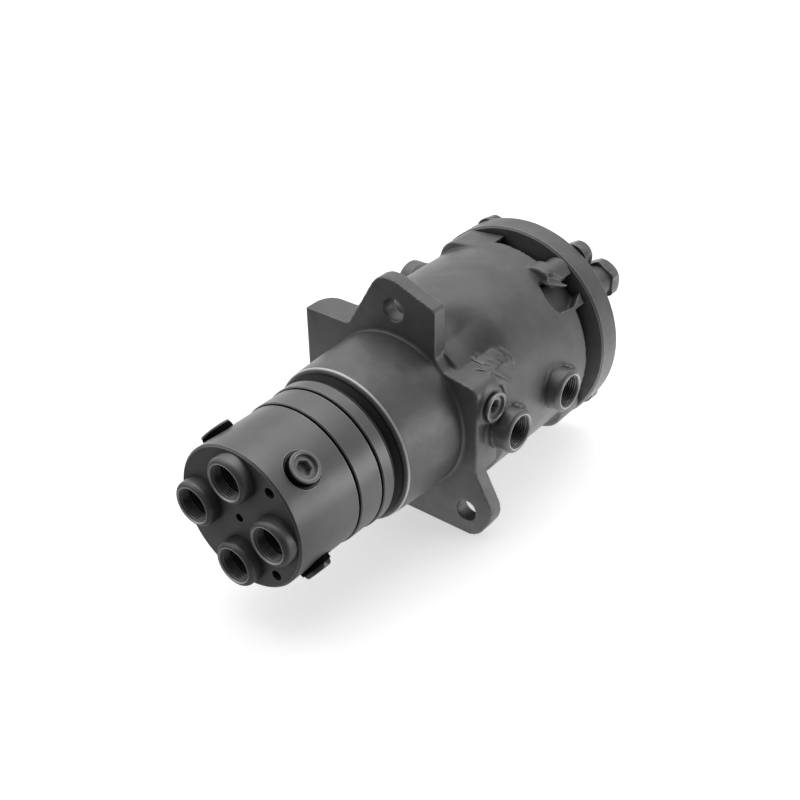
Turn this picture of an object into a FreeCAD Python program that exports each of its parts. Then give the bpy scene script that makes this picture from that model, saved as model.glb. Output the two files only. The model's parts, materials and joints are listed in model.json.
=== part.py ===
import FreeCAD, Part

# Hydraulic rotary union, lying as it is stored: the turning axis is Y, the face with the four
# ports looks along -Y, the end cover is at +Y, and Z is up. The origin is on the axis, in the
# plane of the flange's front face. All lengths are in millimetres, angles in degrees.

import math
import os

import Sketcher

V = FreeCAD.Vector

# Driving dimensions. Reaches are distances along the axis from the flange's front face.
SIZES = {
    # turned stack in front of the flange
    "head_radius": 55.0,
    "head_length": 60.5,
    "head_chamfer": 1.5,
    "spacer_radius": 56.2,
    "spacer_length": 23.0,
    "retainer_radius": 57.4,
    "retainer_length": 10.5,
    "joint_line": 1.9,
    "joint_depth": 3.4,
    "seal_band": 9.5,
    "dust_seal_radius": 58.6,
    "dust_seal_gap": 0.4,
    "neck_reach": 63.5,
    "neck_radius": 61.8,
    "neck_chamfer": 2.2,
    "pilot_radius": 63.6,
    "pilot_length": 28.0,
    # spindle inside the housing
    "shoulder_radius": 47.0,
    "journal_radius": 42.0,
    "running_gap": 0.05,
    "seat_gap": 0.15,
    "axial_play": 0.3,
    "bore_gap": 0.4,
    "bush_wall": 4.0,
    "front_bush_length": 28.0,
    "rear_bush_length": 8.0,
    "washer_seat_radius": 51.0,
    "washer_seat_depth": 6.0,
    # oil galleries and the seals between them
    "first_gallery": 30.0,
    "last_gallery_setback": 24.5,
    "gallery_width": 9.0,
    "gallery_depth": 5.0,
    "last_seal_offset": 11.5,
    "seal_width": 6.0,
    "seal_wall": 2.6,
    "energiser_wall": 2.2,
    "groove_play": 0.2,
    # face ports
    "port_circle": 35.0,
    "port_outer": 17.5,
    "port_bore": 13.2,
    "port_rim": 15.2,
    "head_port_height": 10.5,
    "port_chamfer": 2.0,
    "port_depth": 26.0,
    "port_drill": 10.5,
    "channel_radius": 4.5,
    "channel_circle": 30.0,
    "centre_drill": 3.4,
    "face_hole_x": 30.5,
    "face_hole_z": 34.5,
    "face_hole_radius": 4.3,
    "face_hole_depth": 18.0,
    # plugs round the head
    "plug_angle": 48.5,
    "plug_station": 26.0,
    "plug_flange_radius": 11.6,
    "plug_flange": 2.6,
    "plug_cup_radius": 9.0,
    "plug_cup": 1.2,
    "plug_shank_radius": 8.0,
    "plug_shank": 11.0,
    "plug_hex": 10.0,
    "plug_hex_depth": 7.0,
    "plug_seat_radius": 14.0,
    "plug_seat_depth": 2.2,
    "plug_washer": 2.2,
    # housing barrel
    "barrel_length": 158.0,
    "barrel_radius": 80.5,
    "barrel_shoulder": 34.0,
    "rear_radius": 70.5,
    "waist_length": 14.5,
    "rear_recess_radius": 53.0,
    # flange
    "ear_thickness": 13.0,
    "band_thickness": 27.0,
    "top_ear_height": 108.6,
    "top_ear_fall": 13.6,
    "top_ear_side": 37.5,
    "top_ear_tip": 15.0,
    "top_hole_height": 84.2,
    "low_hole_x": 67.0,
    "low_hole_drop": 66.0,
    "ear_hole_radius": 8.75,
    "foot_drop": 87.5,
    "foot_half_width": 77.0,
    "ear_tip_x": 93.0,
    "ear_tip_drop": 62.0,
    "waist_x": 75.5,
    "waist_drop": 30.0,
    "shoulder_height": 42.5,
    "shoulder_root": 49.0,
    "arm_x": 86.0,
    "arm_height": 58.5,
    "arm_root_x": 44.0,
    "ear_corner": 17.0,
    "shoulder_corner": 9.0,
    "shoulder_bevel": 7.0,
    "shoulder_fillet": 7.0,
    "arm_fillet": 5.0,
    "arm_back_corner": 14.0,
    "waist_corner": 10.0,
    "top_left_corner": 17.0,
    "top_crown": 25.0,
    "top_right_corner": 5.0,
    "top_ear_flat": 0.5,
    # side ports
    "side_port_height": 12.3,
    "port_pad_proud": 0.7,
    "port_pad_radius": 18.0,
    "left_port_offset": 2.5,
    "left_port_height": 24.0,
    # plug on the flange's shoulder
    "gallery_plug_y": 14.5,
    "gallery_plug_z": 25.5,
    "gallery_pad_radius": 14.4,
    "gallery_pad_reach": 78.5,
    # end cover and its bolts
    "cover_radius": 87.5,
    "cover_thickness": 21.4,
    "cover_chamfer": 1.5,
    "cover_recess_radius": 52.6,
    "cover_recess": 15.0,
    "cover_seal_radius": 62.0,
    "cover_seal_section": 3.0,
    "bolt_circle": 77.5,
    "upper_bolt_angle": 58.0,
    "lower_bolt_angle": 43.0,
    "bolt_radius": 7.0,
    "bolt_clearance": 0.9,
    "bolt_across_flats": 22.0,
    "bolt_head": 9.0,
    "bolt_grip": 22.0,
    "lock_washer_radius": 12.1,
    "lock_washer": 3.5,
    "lug_radius": 18.0,
    "lug_circle": 69.0,
    "lug_lean": 25.0,
    "lug_length": 29.0,
    "lug_boss_radius": 10.0,
    "lug_pocket_turn": 11.0,
    "lug_pocket_start": 32.0,
    "lug_pocket_end": 10.0,
    "lug_pocket_depth": 9.0,
    "lug_pocket_low": 14.0,
    "lug_pocket_high": 18.0,
    "lug_pocket_rear": 2.0,
    "lug_pocket_lean": 7.0,
    "lug_pocket_cut": 6.0,
    # drain boss on the cover
    "drain_circle": 72.8,
    "drain_angle": 38.5,
    "drain_boss_radius": 13.4,
    "drain_boss": 12.5,
    "drain_hex": 30.0,
    "drain_head": 11.5,
    "drain_channel_radius": 3.0,
    # plate on the spindle's tail
    "plate_radius": 50.0,
    "plate_thickness": 8.0,
    "plate_bolt_circle": 24.0,
    "plate_bolt_radius": 4.0,
    "plate_bolt_hex": 13.0,
    "plate_bolt_head": 5.3,
    "plate_bolt_length": 22.0,
    "dowel_circle": 22.0,
    "dowel_radius": 3.0,
    "dowel_length": 16.0,
}


def make_sheet(document):
    """The spreadsheet of driving dimensions, one row each."""
    cells = document.addObject("Spreadsheet::Sheet", "Sizes")
    for row, (alias, value) in enumerate(SIZES.items(), start=1):
        cells.set(f"A{row}", alias.replace("_", " "))
        cells.set(f"B{row}", str(value))
        cells.setAlias(f"B{row}", alias)
    document.recompute()
    return cells


class Length:
    """A size taken or worked out from the sheet: its number now, and the formula that ties it."""

    def __init__(self, number, formula):
        self.number = float(number)
        self.formula = formula

    def joined(self, other, sign, number):
        return Length(number, f"({self.formula} {sign} {other.formula})")

    def __add__(self, other):
        other = length(other)
        return self.joined(other, "+", self.number + other.number)

    def __sub__(self, other):
        other = length(other)
        return self.joined(other, "-", self.number - other.number)

    def __mul__(self, other):
        other = length(other)
        return self.joined(other, "*", self.number * other.number)

    def __truediv__(self, other):
        other = length(other)
        return self.joined(other, "/", self.number / other.number)

    def __neg__(self):
        return Length(-self.number, f"(0 - {self.formula})")


def length(value):
    """A Length from an alias of the sheet, a plain number or another Length."""
    if isinstance(value, Length):
        return value
    if isinstance(value, str):
        return Length(sheet.get(value), f"Sizes.{value}")
    return Length(value, repr(float(value)))


def bind(item, prop, value):
    """Set a property of a feature and tie it to the sheet."""
    item.setExpression(prop, length(value).formula)


doc = FreeCAD.newDocument("rotary_union")
sheet = make_sheet(doc)

# Stations along the axis, chained from the flange's front face towards the port face.
zero = length(0)
neck_front = -length("neck_reach")
retainer_back = neck_front - "seal_band"
spacer_back = retainer_back - "retainer_length"
head_back = spacer_back - "spacer_length"
head_front = head_back - "head_length"
cover_front = length("barrel_length")
cover_back = cover_front + "cover_thickness"
spindle_tail = cover_front + "axial_play"
bore_radius = length("journal_radius") + "bore_gap"
bush_radius = length("journal_radius") + "running_gap" + "bush_wall"
port_seat = length("barrel_radius") + "port_pad_proud"
first_gallery = length("first_gallery")
gallery_pitch = (cover_front - "last_gallery_setback" - first_gallery) / 3
galleries = [first_gallery + gallery_pitch * step for step in range(4)]
right_stations = (galleries[0], galleries[2])
left_stations = (galleries[1], galleries[3] + "left_port_offset")
seal_centres = [galleries[0] - gallery_pitch / 2]
seal_centres += [gallery + gallery_pitch / 2 for gallery in galleries[:3]]
seal_centres += [galleries[3] + "last_seal_offset"]
upper_bolt = length("upper_bolt_angle")
lower_bolt = length("lower_bolt_angle")


def at_angle(radius, degrees):
    """X and Z of a point at a radius from the axis, with the angle counted from +X towards +Z."""
    radius = length(radius)
    degrees = length(degrees)
    turn = math.radians(degrees.number)
    return (
        Length(radius.number * math.cos(turn), f"({radius.formula} * cos({degrees.formula} * 1deg))"),
        Length(radius.number * math.sin(turn), f"({radius.formula} * sin({degrees.formula} * 1deg))"),
    )


def half_turn(rise, run):
    """Tangent of half the angle between a level edge and one with this rise and run."""
    rise, run = length(rise), length(run)
    return Length(
        rise.number / (math.hypot(rise.number, run.number) + run.number),
        f"({rise.formula} / (sqrt({rise.formula}^2 + {run.formula}^2) + {run.formula}))",
    )


def within(radius, wall):
    """A fillet's radius, or the most that its wall leaves room for."""
    radius, wall = length(radius), length(wall)
    return Length(min(radius.number, wall.number), f"min({radius.formula}; {wall.formula})")


cover_bolt_angles = [upper_bolt, length(180) - upper_bolt, -lower_bolt, lower_bolt - 180]


class Piece:
    """One sub-part: a body of its own, with sketches on its own origin planes."""

    def __init__(self, label):
        self.body = doc.addObject("PartDesign::Body", label)
        self.body.Label = label
        self.count = 0

    def name(self, kind):
        self.count += 1
        return f"{self.body.Name}_{kind}_{self.count}"

    def sketch(self, role, offset=zero):
        """An empty sketch on XY, XZ or YZ, moved along that plane's normal."""
        item = self.body.newObject("Sketcher::SketchObject", self.name("sketch"))
        plane = next(part for part in self.body.Origin.OriginFeatures if part.Role == f"{role}_Plane")
        item.AttachmentSupport = [(plane, "")]
        item.MapMode = "FlatFace"
        bind(item, "AttachmentOffset.Base.z", offset)
        return item

    def place(self, item, geometry, point, across, up):
        """Tie one point of the sketch's geometry to its place on the plane."""
        for kind, value in (("DistanceX", length(across)), ("DistanceY", length(up))):
            if value.number == 0:
                axis = -2 if kind == "DistanceX" else -1
                item.addConstraint(Sketcher.Constraint("PointOnObject", geometry, point, axis))
                continue
            index = item.addConstraint(Sketcher.Constraint(kind, -1, 1, geometry, point, value.number))
            item.setExpression(f"Constraints[{index}]", value.formula)

    def outline(self, item, corners):
        """A closed outline of straight sides through tied corners."""
        corners = [(length(across), length(up)) for across, up in corners]
        first = item.GeometryCount
        total = len(corners)
        for step in range(total):
            start, end = corners[step], corners[(step + 1) % total]
            item.addGeometry(Part.LineSegment(
                V(start[0].number, start[1].number, 0), V(end[0].number, end[1].number, 0)))
        for step in range(total):
            item.addConstraint(Sketcher.Constraint(
                "Coincident", first + step, 2, first + (step + 1) % total, 1))
        for step, (across, up) in enumerate(corners):
            self.place(item, first + step, 1, across, up)
        return item

    def circle(self, item, across, up, radius):
        """A circle with its centre and radius tied."""
        across, up, radius = length(across), length(up), length(radius)
        index = item.addGeometry(Part.Circle(V(across.number, up.number, 0), V(0, 0, 1), radius.number))
        self.place(item, index, 3, across, up)
        size = item.addConstraint(Sketcher.Constraint("Radius", index, radius.number))
        item.setExpression(f"Constraints[{size}]", radius.formula)
        return item

    def turned(self, corners, cut=False):
        """Turn an outline of (radius, station) points about Y, as material or as a cut."""
        profile = self.outline(self.sketch("XY"), corners)
        kind = "Groove" if cut else "Revolution"
        item = self.body.newObject(f"PartDesign::{kind}", self.name("turned"))
        item.Profile = profile
        item.ReferenceAxis = (profile, ["V_Axis"])
        item.Angle = 360
        profile.Visibility = False
        return item

    def pad(self, profile, depth, reverse=False):
        item = self.body.newObject("PartDesign::Pad", self.name("pad"))
        item.Profile = profile
        item.Reversed = reverse
        bind(item, "Length", depth)
        return item

    def pocket(self, profile, depth, reverse=False):
        """A cut that has to take material away, or the build stops."""
        doc.recompute()
        before = self.body.Shape.Volume
        item = self.body.newObject("PartDesign::Pocket", self.name("pocket"))
        item.Profile = profile
        item.Reversed = reverse
        bind(item, "Length", depth)
        doc.recompute()
        if not self.body.Shape.Volume < before - 1e-3:
            raise RuntimeError(f"{item.Name} cuts nothing")
        return item

    def across_axis(self, station):
        """A sketch square to the axis at a station: its up is Z and its pads grow along -Y."""
        return self.sketch("XZ", -length(station))

    def along_axis(self, corners, start, end):
        """A prism of an outline in X and Z between two stations."""
        return self.pad(self.outline(self.across_axis(start), corners), length(end) - start, True)

    def round_rod(self, across, up, radius, start, end):
        """A round boss parallel to the axis between two stations."""
        return self.pad(self.circle(self.across_axis(start), across, up, radius), length(end) - start, True)

    def round_hole(self, across, up, radius, start, end):
        """A round hole parallel to the axis between two stations."""
        profile = self.circle(self.across_axis(start), across, up, radius)
        return self.pocket(profile, length(end) - start, False)

    def side_boss(self, station, height, radius, start, end):
        """A round boss square to the axis, from X = start out to X = end on the right."""
        return self.pad(self.circle(self.sketch("YZ", start), station, height, radius), length(end) - start)

    def side_hole(self, station, height, radius, mouth, depth):
        """A round hole that runs in from X = mouth on the right."""
        return self.pocket(self.circle(self.sketch("YZ", mouth), station, height, radius), depth)

    def rounded(self, corners, radius, start, end):
        """Round the edges parallel to the axis that stand on the given corners."""
        doc.recompute()
        low, high = length(start).number, length(end).number
        base = self.body.Tip
        names = []
        for number, edge in enumerate(base.Shape.Edges, start=1):
            ends = [vertex.Point for vertex in edge.Vertexes]
            if len(ends) != 2 or abs(ends[0].y - ends[1].y) < 1:
                continue
            if min(ends[0].y, ends[1].y) < low - 0.01 or max(ends[0].y, ends[1].y) > high + 0.01:
                continue
            for across, up in corners:
                place = V(length(across).number, ends[0].y, length(up).number)
                if ends[0].distanceToPoint(place) < 0.01 and abs(ends[1].x - place.x) < 0.01:
                    names.append(f"Edge{number}")
        if len(names) != len(corners):
            raise RuntimeError(f"{self.body.Name}: {len(names)} corners found of {len(corners)}")
        return self.fillet(base, names, radius)

    def upright_rounded(self, across, station, radius):
        """Round the edge parallel to Z that stands at a place in X and Y."""
        doc.recompute()
        base = self.body.Tip
        place = V(length(across).number, length(station).number, 0)
        names = []
        for number, edge in enumerate(base.Shape.Edges, start=1):
            ends = [V(vertex.X, vertex.Y, 0) for vertex in edge.Vertexes]
            if len(ends) == 2 and all(end.distanceToPoint(place) < 0.01 for end in ends):
                names.append(f"Edge{number}")
        return self.fillet(base, names, radius)

    def fillet(self, base, names, radius):
        item = self.body.newObject("PartDesign::Fillet", self.name("fillet"))
        item.Base = (base, names)
        bind(item, "Radius", radius)
        return item


def hexagon(piece, item, across, up, flats):
    """A hexagon of a width across flats, with a corner on each side, in a sketch."""
    across, up, flats = length(across), length(up), length(flats)
    reach = flats * (1 / math.sqrt(3))
    corners = []
    for side in range(6):
        turn = math.radians(60 * side)
        corners.append((across + reach * math.cos(turn), up + reach * math.sin(turn)))
    return piece.outline(item, corners)


def put(item, x, y, z, axis=V(0, 1, 0), turn=zero):
    """Place a piece at a tied point, turned about an axis by a tied angle."""
    point = [length(value) for value in (x, y, z)]
    turn = length(turn)
    item.Placement = FreeCAD.Placement(
        V(*[value.number for value in point]), FreeCAD.Rotation(axis, turn.number))
    for letter, value in zip("xyz", point):
        bind(item, f"Placement.Base.{letter}", value)
    item.setExpression("Placement.Rotation.Angle", f"{turn.formula} * 1deg")


def copies(label, source, places):
    """Copies of one body as separate solids of a single node, each with its own place."""
    links = []
    for number, place in enumerate(places, start=1):
        link = doc.addObject("App::Link", f"{label}_{number}")
        link.LinkedObject = source
        put(link, *place)
        links.append(link)
    item = doc.addObject("Part::Compound", label)
    item.Label = label
    item.Links = links
    return item


def round_circle(circle, angles):
    """Places on a circle round the axis, one for each angle, without turning the piece."""
    places = []
    for angle in angles:
        across, up = at_angle(circle, angle)
        places.append((across, zero, up))
    return places


def make_spindle():
    piece = Piece("spindle")
    chamfer = length("head_chamfer")
    journal = length("journal_radius")
    shoulder = length("shoulder_radius")
    shoulder_end = neck_front + "axial_play"
    profile = [
        (zero, head_front),
        (length("head_radius") - chamfer, head_front),
        ("head_radius", head_front + chamfer),
        ("head_radius", head_back - "joint_line"),
        (length("head_radius") - "joint_depth", head_back - "joint_line"),
        (length("head_radius") - "joint_depth", head_back),
        (shoulder, head_back),
        (shoulder, shoulder_end),
        (journal, shoulder_end),
    ]
    for gallery in galleries:
        half = length("gallery_width") / 2
        floor = journal - "gallery_depth"
        profile += [(journal, gallery - half), (floor, gallery - half),
                    (floor, gallery + half), (journal, gallery + half)]
    profile += [(journal, spindle_tail), (zero, spindle_tail)]
    piece.turned(profile)
    for quarter, gallery in enumerate(galleries):
        across, up = at_angle("port_circle", 90 * quarter)
        piece.round_hole(across, up, "port_drill", head_front, head_front + "port_depth")
        channel(piece, 90 * quarter, gallery)
    piece.round_hole(zero, zero, "centre_drill", head_front, head_front + 6)
    face_holes = piece.across_axis(head_front)
    for side in (1, -1):
        piece.circle(face_holes, "face_hole_x", length("face_hole_z") * side, "face_hole_radius")
    piece.pocket(face_holes, "face_hole_depth")
    seat = length("head_radius") - "plug_seat_depth"
    station = head_front + "plug_station"
    for quarter in range(4):
        spin = length("plug_angle") + 90 * quarter
        plug_seat(piece, station, spin, seat)
    tail_pattern(piece)
    return piece


def channel(piece, spin, gallery):
    """A long drilling from a port's floor, opened into its gallery by a radial drilling."""
    across, up = at_angle("channel_circle", spin)
    piece.round_hole(across, up, "channel_radius", head_front + "port_depth" - 1, gallery)
    floor = length("journal_radius") - "gallery_depth"
    cross = piece.circle(radial_sketch(piece, spin, floor + 1), gallery, zero, length("channel_radius") - 0.5)
    piece.pocket(cross, floor + 1 - "channel_circle")


def radial_sketch(piece, spin, offset):
    """A sketch square to the radius at an angle round the axis: its across is Y."""
    spin = length(spin)
    out, up = at_angle(offset, spin)
    item = piece.sketch("YZ", out)
    turn = FreeCAD.Rotation(V(1, 0, 0), -spin.number)
    item.AttachmentOffset = FreeCAD.Placement(V(0, up.number, out.number), turn)
    bind(item, "AttachmentOffset.Base.y", up)
    item.setExpression("AttachmentOffset.Rotation.Angle", f"{(-spin).formula} * 1deg")
    return item


def plug_seat(piece, station, spin, seat):
    """A spot-faced and drilled seat for one plug, square to the head's side."""
    piece.pocket(piece.circle(radial_sketch(piece, spin, seat), station, zero, "plug_seat_radius"),
                 length("plug_seat_depth") + 3, True)
    hole = length("plug_shank_radius") + "seat_gap"
    piece.pocket(piece.circle(radial_sketch(piece, spin, seat), station, zero, hole),
                 length("plug_shank") + 2)


def tail_pattern(piece):
    """Tapped holes and dowel holes in the spindle's tail."""
    holes = piece.across_axis(spindle_tail - "plate_bolt_length" - 2)
    for quarter in range(4):
        across, up = at_angle("plate_bolt_circle", 45 + 90 * quarter)
        piece.circle(holes, across, up, length("plate_bolt_radius") + "seat_gap")
    piece.pocket(holes, length("plate_bolt_length") + 4)
    dowels = piece.across_axis(spindle_tail - length("dowel_length") / 2)
    for side in (1, -1):
        piece.circle(dowels, length("dowel_circle") * side, zero, length("dowel_radius") + "seat_gap")
    piece.pocket(dowels, "dowel_length")


def port_collar(label, start, end):
    """A round port collar along Y with a chamfered rim and a plain bore."""
    piece = Piece(label)
    rim = length("port_outer") - "port_rim"
    start, end = length(start), length(end)
    piece.turned([
        ("port_bore", start),
        ("port_rim", start),
        ("port_outer", start + rim * 0.9),
        ("port_outer", end),
        ("port_bore", end),
    ])
    return piece


def make_head_ports():
    collar = port_collar("head_port_collar", head_front - "head_port_height", head_front)
    return copies("head_ports", collar.body, round_circle("port_circle", (0, 90, 180, 270)))


def make_side_ports():
    """The side collars are one collar, laid over so that its rim looks along +X or -X."""
    collar = port_collar("side_port_collar", -length("side_port_height"), zero)
    upright = V(0, 0, 1)
    copies("right_ports", collar.body, [
        (port_seat, right_stations[0], zero, upright, 90),
        (port_seat, right_stations[1], zero, upright, 90),
    ])
    copies("left_ports", collar.body, [
        (-port_seat, left_stations[0], zero, upright, -90),
        (-port_seat, left_stations[1], "left_port_height", upright, -90),
    ])


def make_plug(label, base):
    """A hexagon socket plug along X: flange outwards, shank inwards, seated at X = base."""
    piece = Piece(label)
    base = length(base)
    piece.side_boss(zero, zero, "plug_flange_radius", base, base + "plug_flange")
    piece.side_boss(zero, zero, "plug_shank_radius", base - "plug_shank", base + 0.5)
    cup = piece.circle(piece.sketch("YZ", base + "plug_flange"), zero, zero, "plug_cup_radius")
    piece.pocket(cup, "plug_cup")
    socket = hexagon(piece, piece.sketch("YZ", base + "plug_flange"), zero, zero, "plug_hex")
    piece.pocket(socket, "plug_hex_depth")
    return piece


def make_head_plugs():
    seat = length("head_radius") - "plug_seat_depth"
    plug = make_plug("head_plug", seat + "plug_washer")
    washer = Piece("head_plug_washer")
    ring = washer.sketch("YZ", seat)
    washer.circle(ring, zero, zero, length("plug_flange_radius") + 0.4)
    washer.circle(ring, zero, zero, length("plug_shank_radius") + "seat_gap")
    washer.pad(ring, "plug_washer")
    station = head_front + "plug_station"
    places = []
    for quarter in range(4):
        places.append((zero, station, zero, V(0, 1, 0), -(length("plug_angle") + 90 * quarter)))
    copies("head_plugs", plug.body, places)
    copies("head_plug_washers", washer.body, places)


def make_rings():
    """The two rings behind the head and the dust seal between them and the neck."""
    inner = length("shoulder_radius") + "running_gap"
    line, depth = length("joint_line"), length("joint_depth")
    spacer = Piece("spacer_ring")
    outer = length("spacer_radius")
    spacer.turned([
        (inner, head_back), (outer - 0.8, head_back), (outer, head_back + 0.8),
        (outer, spacer_back - line), (outer - depth, spacer_back - line),
        (outer - depth, spacer_back), (inner, spacer_back),
    ])
    retainer = Piece("retainer_ring")
    outer = length("retainer_radius")
    retainer.turned([
        (inner, spacer_back), (outer - 0.8, spacer_back), (outer, spacer_back + 0.8),
        (outer, retainer_back - 0.8), (outer - 0.8, retainer_back), (inner, retainer_back),
    ])
    seal = Piece("dust_seal")
    outer = length("dust_seal_radius")
    seal_end = neck_front - "dust_seal_gap"
    middle = retainer_back + length("seal_band") / 2
    seal.turned([
        (inner, retainer_back), (outer - 3.2, retainer_back), (outer - 3.2, middle - 1.6),
        (outer - 5.2, middle), (outer - 0.4, seal_end - 0.8), (outer - 1.2, seal_end),
        (inner, seal_end),
    ])


def make_housing():
    piece = Piece("housing")
    neck = length("neck_radius")
    chamfer = length("neck_chamfer")
    barrel_end = cover_front - "waist_length"
    piece.turned([
        (zero, neck_front),
        (neck - chamfer, neck_front),
        (neck, neck_front + chamfer),
        ("pilot_radius", -length("pilot_length")),
        ("pilot_radius", "ear_thickness"),
        ("barrel_radius", "barrel_shoulder"),
        ("barrel_radius", barrel_end),
        ("rear_radius", barrel_end),
        ("rear_radius", cover_front),
        (zero, cover_front),
    ])
    flange_ears(piece)
    middle_band(piece)
    bolt_lug(piece, cover_bolt_angles[0], barrel_end)
    for spin in cover_bolt_angles[1:]:
        bolt_lug(piece, spin, cover_front)
    cover_side_web(piece, cover_bolt_angles[0])
    lug_pocket(piece, cover_bolt_angles[0])
    port_pads(piece)
    main_bore(piece)
    port_drillings(piece)
    for spin in cover_bolt_angles:
        across, up = at_angle("bolt_circle", spin)
        hole = length("bolt_radius") + "seat_gap"
        piece.round_hole(across, up, hole, cover_front - "bolt_grip" - 4, cover_front)
    return piece


def flange_ears(piece):
    """The thin three-eared plate: one ear up, two down, drilled for the frame's bolts."""
    bevel = length("shoulder_bevel")
    run = length("waist_x") - "top_ear_side"
    fall = bevel * (length("shoulder_root") - "shoulder_height") / run
    corners = [
        (-length("top_ear_tip"), "top_ear_height"),
        (zero, "top_ear_height"),
        ("top_ear_side", length("top_ear_height") - "top_ear_fall"),
        ("top_ear_side", length("shoulder_root") + bevel),
        (length("top_ear_side") + bevel, length("shoulder_root") - fall),
        ("waist_x", "shoulder_height"),
        ("waist_x", -length("waist_drop")),
        ("ear_tip_x", -length("ear_tip_drop")),
        ("foot_half_width", -length("foot_drop")),
        (-length("foot_half_width"), -length("foot_drop")),
        (-length("ear_tip_x"), -length("ear_tip_drop")),
        (-length("waist_x"), -length("waist_drop")),
        (-length("waist_x"), "arm_height"),
        (-length("arm_root_x"), "arm_height"),
    ]
    thick = length("ear_thickness")
    piece.along_axis(corners, zero, thick)
    crown = half_turn("top_ear_fall", "top_ear_side") * "top_crown"
    rise = length("top_ear_height") - "arm_height"
    wall = length("top_ear_tip") - crown - "top_ear_flat"
    wall = wall / half_turn(rise, length("arm_root_x") - "top_ear_tip")
    piece.rounded([corners[0]], within("top_left_corner", wall), zero, thick)
    piece.rounded([corners[1]], "top_crown", zero, thick)
    piece.rounded([corners[2]], "top_right_corner", zero, thick)
    piece.rounded(corners[3:5], "shoulder_fillet", zero, thick)
    piece.rounded([corners[5]], "shoulder_corner", zero, thick)
    piece.rounded([corners[6]], "waist_corner", zero, thick)
    piece.rounded(corners[7:11], "ear_corner", zero, thick)
    piece.rounded([corners[13]], "arm_fillet", zero, thick)
    holes = piece.across_axis(zero)
    piece.circle(holes, zero, "top_hole_height", "ear_hole_radius")
    piece.circle(holes, "low_hole_x", -length("low_hole_drop"), "ear_hole_radius")
    piece.circle(holes, -length("low_hole_x"), -length("low_hole_drop"), "ear_hole_radius")
    piece.pocket(holes, thick)


def middle_band(piece):
    """The thick band across the flange: a square arm on the left and a shoulder on the right."""
    thick = length("band_thickness")
    plan = piece.outline(piece.sketch("XY", -length("waist_drop")), [
        (-length("arm_x"), zero),
        (-length("arm_root_x"), zero),
        (-length("arm_root_x"), thick),
        (-length("arm_x"), thick),
    ])
    piece.pad(plan, length("waist_drop") + "arm_height")
    piece.upright_rounded(-length("arm_x"), thick, "arm_back_corner")
    shoulder = [
        ("top_ear_side", "shoulder_root"),
        ("waist_x", "shoulder_height"),
        ("waist_x", -length("waist_drop")),
        ("top_ear_side", -length("waist_drop")),
    ]
    piece.along_axis(shoulder, zero, thick)
    piece.rounded([shoulder[1]], "shoulder_corner", zero, thick)


def lug_outline(spin):
    """Corners of a lug's section: flat sides tangent to the barrel and to the lug's round end."""
    barrel, lug, reach = (length(size) for size in ("barrel_radius", "lug_radius", "lug_circle"))
    lean = length("lug_lean")
    centre = at_angle(reach, spin)
    corners = []
    for side in (-1, 1):
        normal = length(spin) + lean * side
        foot = at_angle(barrel, normal)
        top = at_angle(lug, normal)
        pair = [foot, (centre[0] + top[0], centre[1] + top[1])]
        corners += pair if side < 0 else pair[::-1]
    inner = at_angle(reach - lug, spin)
    return corners + [inner]


def bolt_lug(piece, spin, end):
    """A cast lug for one cover bolt: a round end that runs flat into the barrel on both sides."""
    start = cover_front - "lug_length"
    across, up = at_angle("lug_circle", spin)
    piece.round_rod(across, up, "lug_radius", start, end)
    piece.along_axis(lug_outline(spin), start, end)
    if end is not cover_front:
        across, up = at_angle("bolt_circle", spin)
        piece.round_rod(across, up, "lug_boss_radius", start, cover_front)


def cover_side_web(piece, spin):
    """The right-hand flank of the upper right lug, which alone runs on to the cover."""
    foot, top = lug_outline(spin)[:2]
    inner_foot = at_angle(length("rear_radius") - 5, length(spin) - "lug_lean")
    inner_top = at_angle(length("rear_radius") - 5, spin)
    piece.along_axis([foot, top, inner_top, inner_foot], cover_front - "lug_length", cover_front)


def lug_pocket(piece, spin):
    """The three-cornered hollow in the casting under the upper right lug."""
    middle = length(spin) - "lug_pocket_turn"
    start = cover_front - "lug_pocket_start"
    end = cover_front - "lug_pocket_end"
    low = -length("lug_pocket_low")
    profile = piece.outline(radial_sketch(piece, middle, length("barrel_radius") - "lug_pocket_depth"), [
        (start, low),
        (start + "lug_pocket_lean", "lug_pocket_high"),
        (end, "lug_pocket_rear"),
        (end - "lug_pocket_cut", low),
    ])
    piece.pocket(profile, length("lug_radius") * 2, True)


def port_pads(piece):
    """Flat round pads that the side port collars stand on, and the plug's pad."""
    inside = length("barrel_radius") * 0.7
    radius = length("port_pad_radius")
    for station in right_stations:
        piece.side_boss(station, zero, radius, inside, port_seat)
    piece.side_boss(left_stations[0], zero, radius, -port_seat, -inside)
    piece.side_boss(left_stations[1], "left_port_height", radius, -port_seat, -inside)
    piece.side_boss("gallery_plug_y", "gallery_plug_z", "gallery_pad_radius", inside, "gallery_pad_reach")


def main_bore(piece):
    """The stepped main bore with its bush seats, seal grooves and rear recess."""
    mouth = neck_front + "washer_seat_depth"
    front_end = mouth + "front_bush_length"
    rear_start = cover_front - "rear_bush_length"
    profile = [
        (zero, neck_front), ("washer_seat_radius", neck_front), ("washer_seat_radius", mouth),
        (bush_radius, mouth), (bush_radius, front_end), (bore_radius, front_end),
    ]
    groove = length("journal_radius") + "running_gap" + "seal_wall" + "energiser_wall"
    half = length("seal_width") / 2 + "groove_play"
    for centre in seal_centres:
        profile += [(bore_radius, centre - half), (groove, centre - half),
                    (groove, centre + half), (bore_radius, centre + half)]
    profile += [(bore_radius, rear_start), (bush_radius, rear_start), (bush_radius, cover_front),
                (zero, cover_front)]
    piece.turned(profile, cut=True)


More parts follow.
